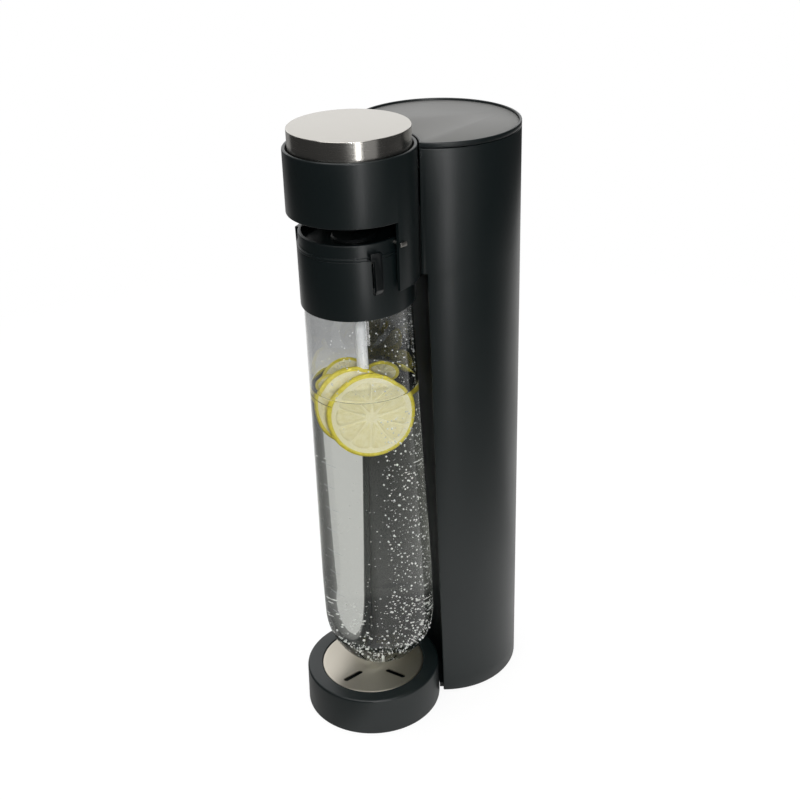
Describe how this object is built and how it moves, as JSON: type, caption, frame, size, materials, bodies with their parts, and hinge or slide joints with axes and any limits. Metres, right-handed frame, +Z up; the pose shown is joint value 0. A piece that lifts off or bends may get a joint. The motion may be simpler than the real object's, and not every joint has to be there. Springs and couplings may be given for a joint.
{
  "type": "sparkling water maker",
  "caption": "Free-standing sparkling water maker: round column with a gas cylinder, head with a steel push cap and inner lever, tilting holder, clear bottle and drip tray.",
  "frame": {"origin": "middle of the footprint, on the table, under the feet", "axes": "+Z up, -Y towards the user (the head and bottle side), +X to the right of someone who looks along +Y"},
  "size_m": [0.1134, 0.1844, 0.4463],
  "materials": {
    "satin_black": "satin moulded plastic",
    "plastic_black": "matt moulded plastic",
    "inlay_grey": "satin",
    "steel": "brushed",
    "aluminium": "satin",
    "brass": "turned",
    "rubber": "matt",
    "tube_grey": "smooth",
    "clear_pet": "clear"
  },
  "bodies": {
    "stand": {"spine": "plastic_black", "foot_plate": "plastic_black", "rubber_foot_1": "rubber", "rubber_foot_2": "rubber", "rubber_foot_3": "rubber", "rubber_foot_4": "rubber", "foot_screw_1": "steel", "foot_screw_2": "steel", "foot_screw_3": "steel", "foot_screw_4": "steel", "top_frame": "plastic_black", "cylinder_pad": "rubber", "cylinder_clamp": "plastic_black", "valve_seal": "rubber", "valve_block": "brass", "relief_valve": "brass", "lever_bracket": "steel", "lever_pin": "steel", "gas_pipe": "tube_grey", "head_housing": "satin_black", "head_floor": "plastic_black", "cap_guide": "plastic_black", "hinge_pin_left": "steel", "hinge_pin_right": "steel"},
    "cover": {"column_sleeve": "satin_black", "column_lid": "satin_black", "lid_inlay": "inlay_grey"},
    "cylinder": {"gas_cylinder": "aluminium", "cylinder_valve": "brass"},
    "cap": {"push_cap": "steel", "cap_plunger": "plastic_black", "cap_spring": "steel"},
    "lever_arm": {"lever": "steel"},
    "pin": {"valve_pin": "steel"},
    "holder": {"holder_ring": "satin_black", "holder_collar": "satin_black", "catch_ring": "plastic_black", "nozzle": "plastic_black", "carbonation_tube": "tube_grey", "mouth_seal": "rubber"},
    "key_left": {"release_key_left": "plastic_black"},
    "key_right": {"release_key_right": "plastic_black"},
    "bottle_body": {"bottle": "clear_pet"},
    "tray": {"drip_tray": "satin_black", "drip_plate": "steel"}
  },
  "joints": [
    {"name": "cap_press", "type": "slide", "parent": "stand", "child": "cap", "axis": [0, 0, -1], "range_m": [0, 0.006], "stiffness_N_per_m": 2000, "springref_m": -0.004, "deforming": ["cap_spring"]},
    {"name": "lever_swing", "type": "hinge", "parent": "stand", "child": "lever_arm", "pos_m": [0, 0.06951, 0.4034], "axis": [1, 0, 0], "range_deg": [0, 3.2]},
    {"name": "valve_pin_press", "type": "slide", "parent": "stand", "child": "pin", "axis": [0, 0, -1], "range_m": [0, 0.0007]},
    {"name": "holder_tilt", "type": "hinge", "parent": "stand", "child": "holder", "pos_m": [0, -0.03841, 0.3775], "axis": [-1, 0, 0], "range_deg": [0, 14]},
    {"name": "key_left_press", "type": "slide", "parent": "holder", "child": "key_left", "axis": [0.9354, 0.3533, 0.0105], "range_m": [0, 0.002], "stiffness_N_per_m": 1000, "springref_m": -0.002},
    {"name": "key_right_press", "type": "slide", "parent": "holder", "child": "key_right", "axis": [-0.9354, 0.3533, 0.0105], "range_m": [0, 0.002], "stiffness_N_per_m": 1000, "springref_m": -0.002},
    {"name": "bottle_turn", "type": "hinge", "parent": "holder", "child": "bottle_body", "pos_m": [0, -0.04161, 0.3774], "axis": [0, -0.0297, 0.9996], "continuous": true},
    {"name": "tray_pull", "type": "slide", "parent": "stand", "child": "tray", "axis": [0, -1, 0], "range_m": [0, 0.09]},
    {"name": "cover_lift", "type": "slide", "parent": "stand", "child": "cover", "axis": [0, 0, 1], "range_m": [0, 0.44]},
    {"name": "cylinder_unscrew", "type": "hinge", "parent": "stand", "child": "cylinder", "pos_m": [0, 0.05751, 0.2], "axis": [0, 0, -1], "range_deg": [0, 900]}
  ],
  "couplings": [
    {"joint": "lever_swing", "follows": "cap_press", "rad_per_m": 8.9995},
    {"joint": "valve_pin_press", "follows": "cap_press", "ratio": 0.10799}
  ]
}
